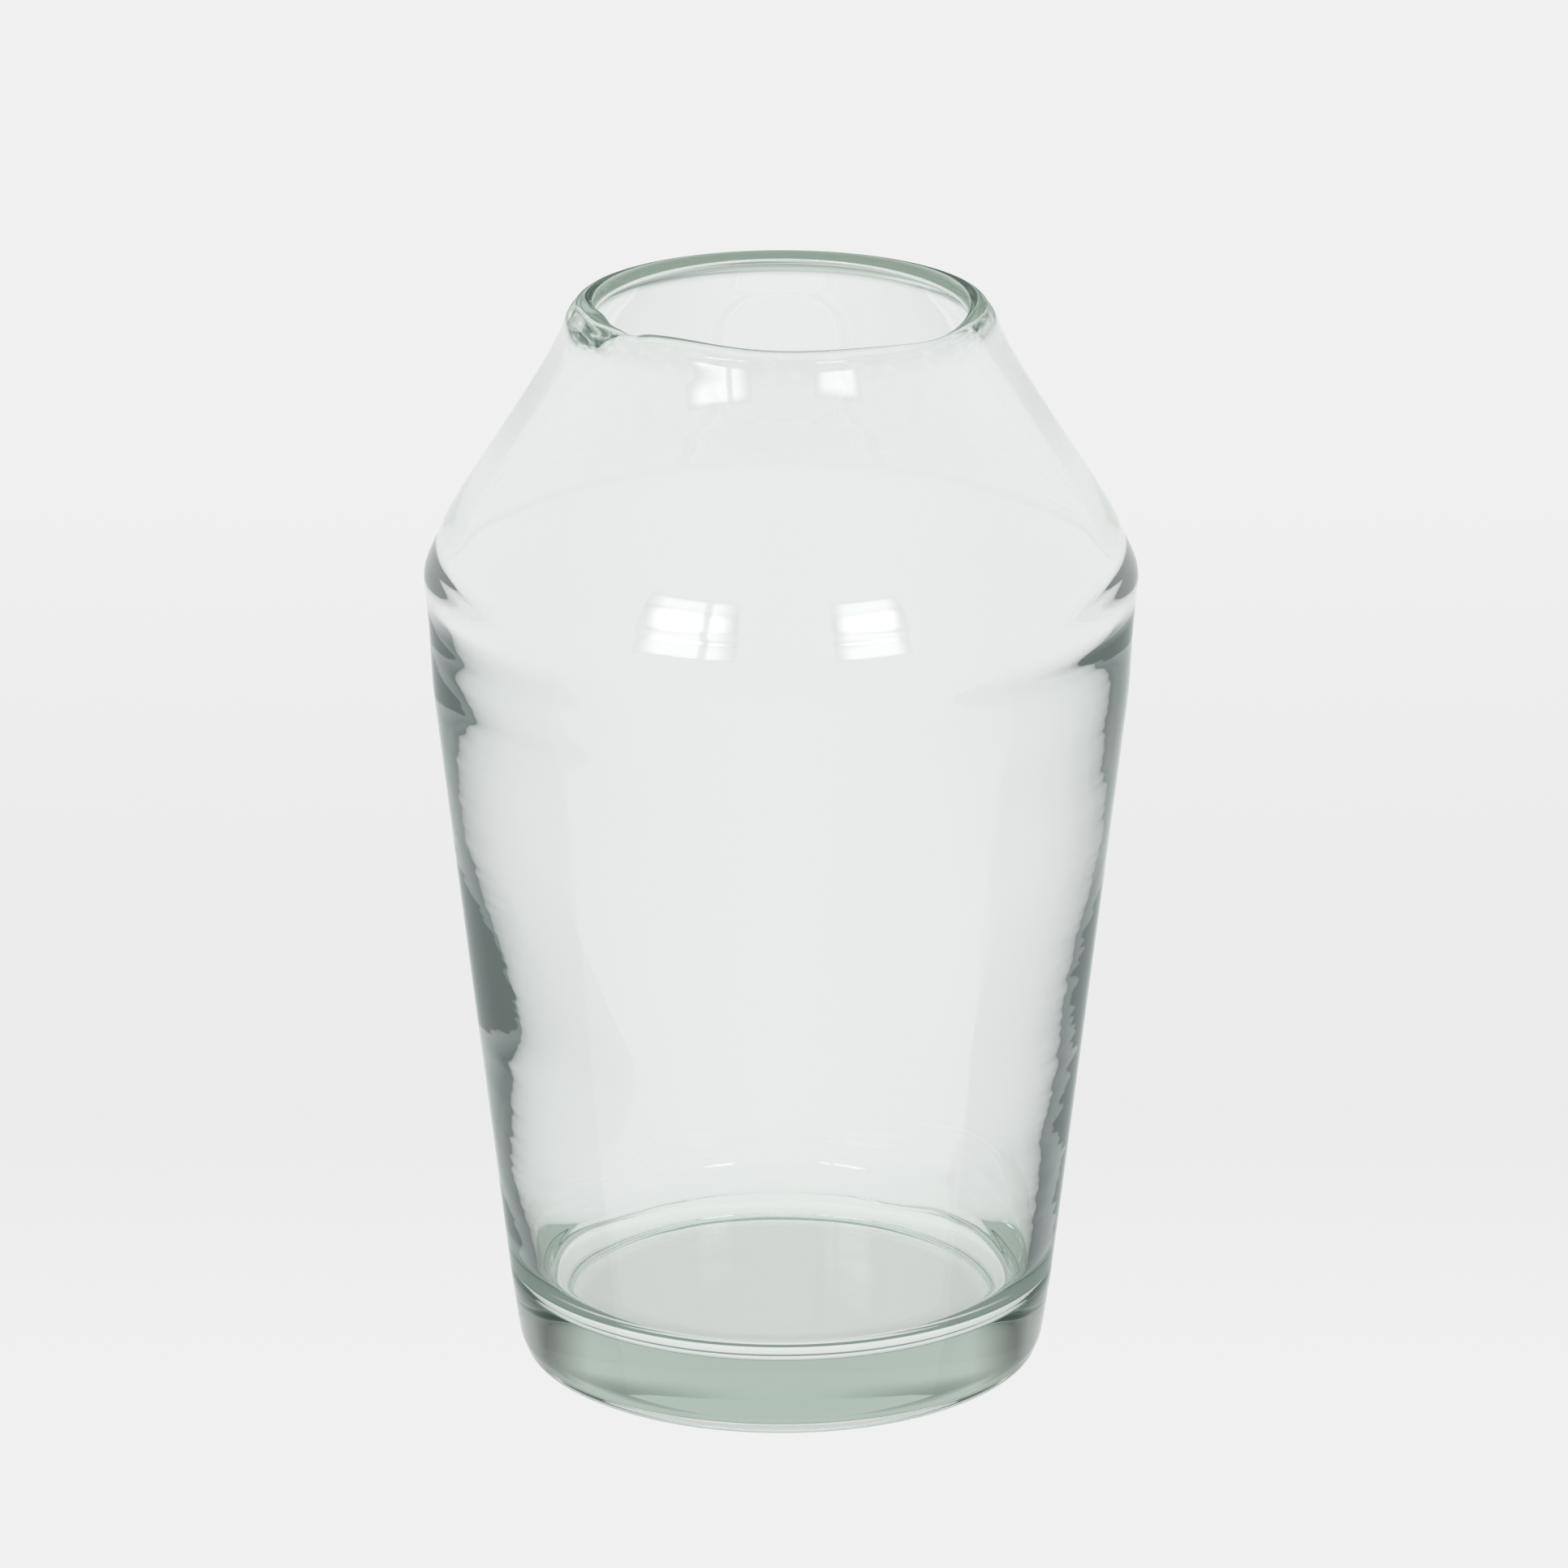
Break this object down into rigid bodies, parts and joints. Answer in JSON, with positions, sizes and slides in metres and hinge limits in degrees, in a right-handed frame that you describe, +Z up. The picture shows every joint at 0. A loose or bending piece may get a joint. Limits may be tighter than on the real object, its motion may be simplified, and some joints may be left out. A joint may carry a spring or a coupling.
{
  "type": "mixing glass",
  "caption": "One-piece clear glass vessel with a thick base, tapered body, rounded shoulder, conical neck, rounded rim and small pour lip, for stirring and pouring drinks.",
  "frame": {"origin": "middle of the underside, on the glass's axis, in the plane it stands on", "axes": "+Z up along the glass's axis; the pour lip points along -X"},
  "size_m": [0.11, 0.11, 0.1712],
  "materials": {
    "clear_glass": "clear, fire-polished, with a faint green-grey tint in the thick base and rim"
  },
  "bodies": {
    "root": {"glass_body": "clear_glass"}
  },
  "joints": []
}
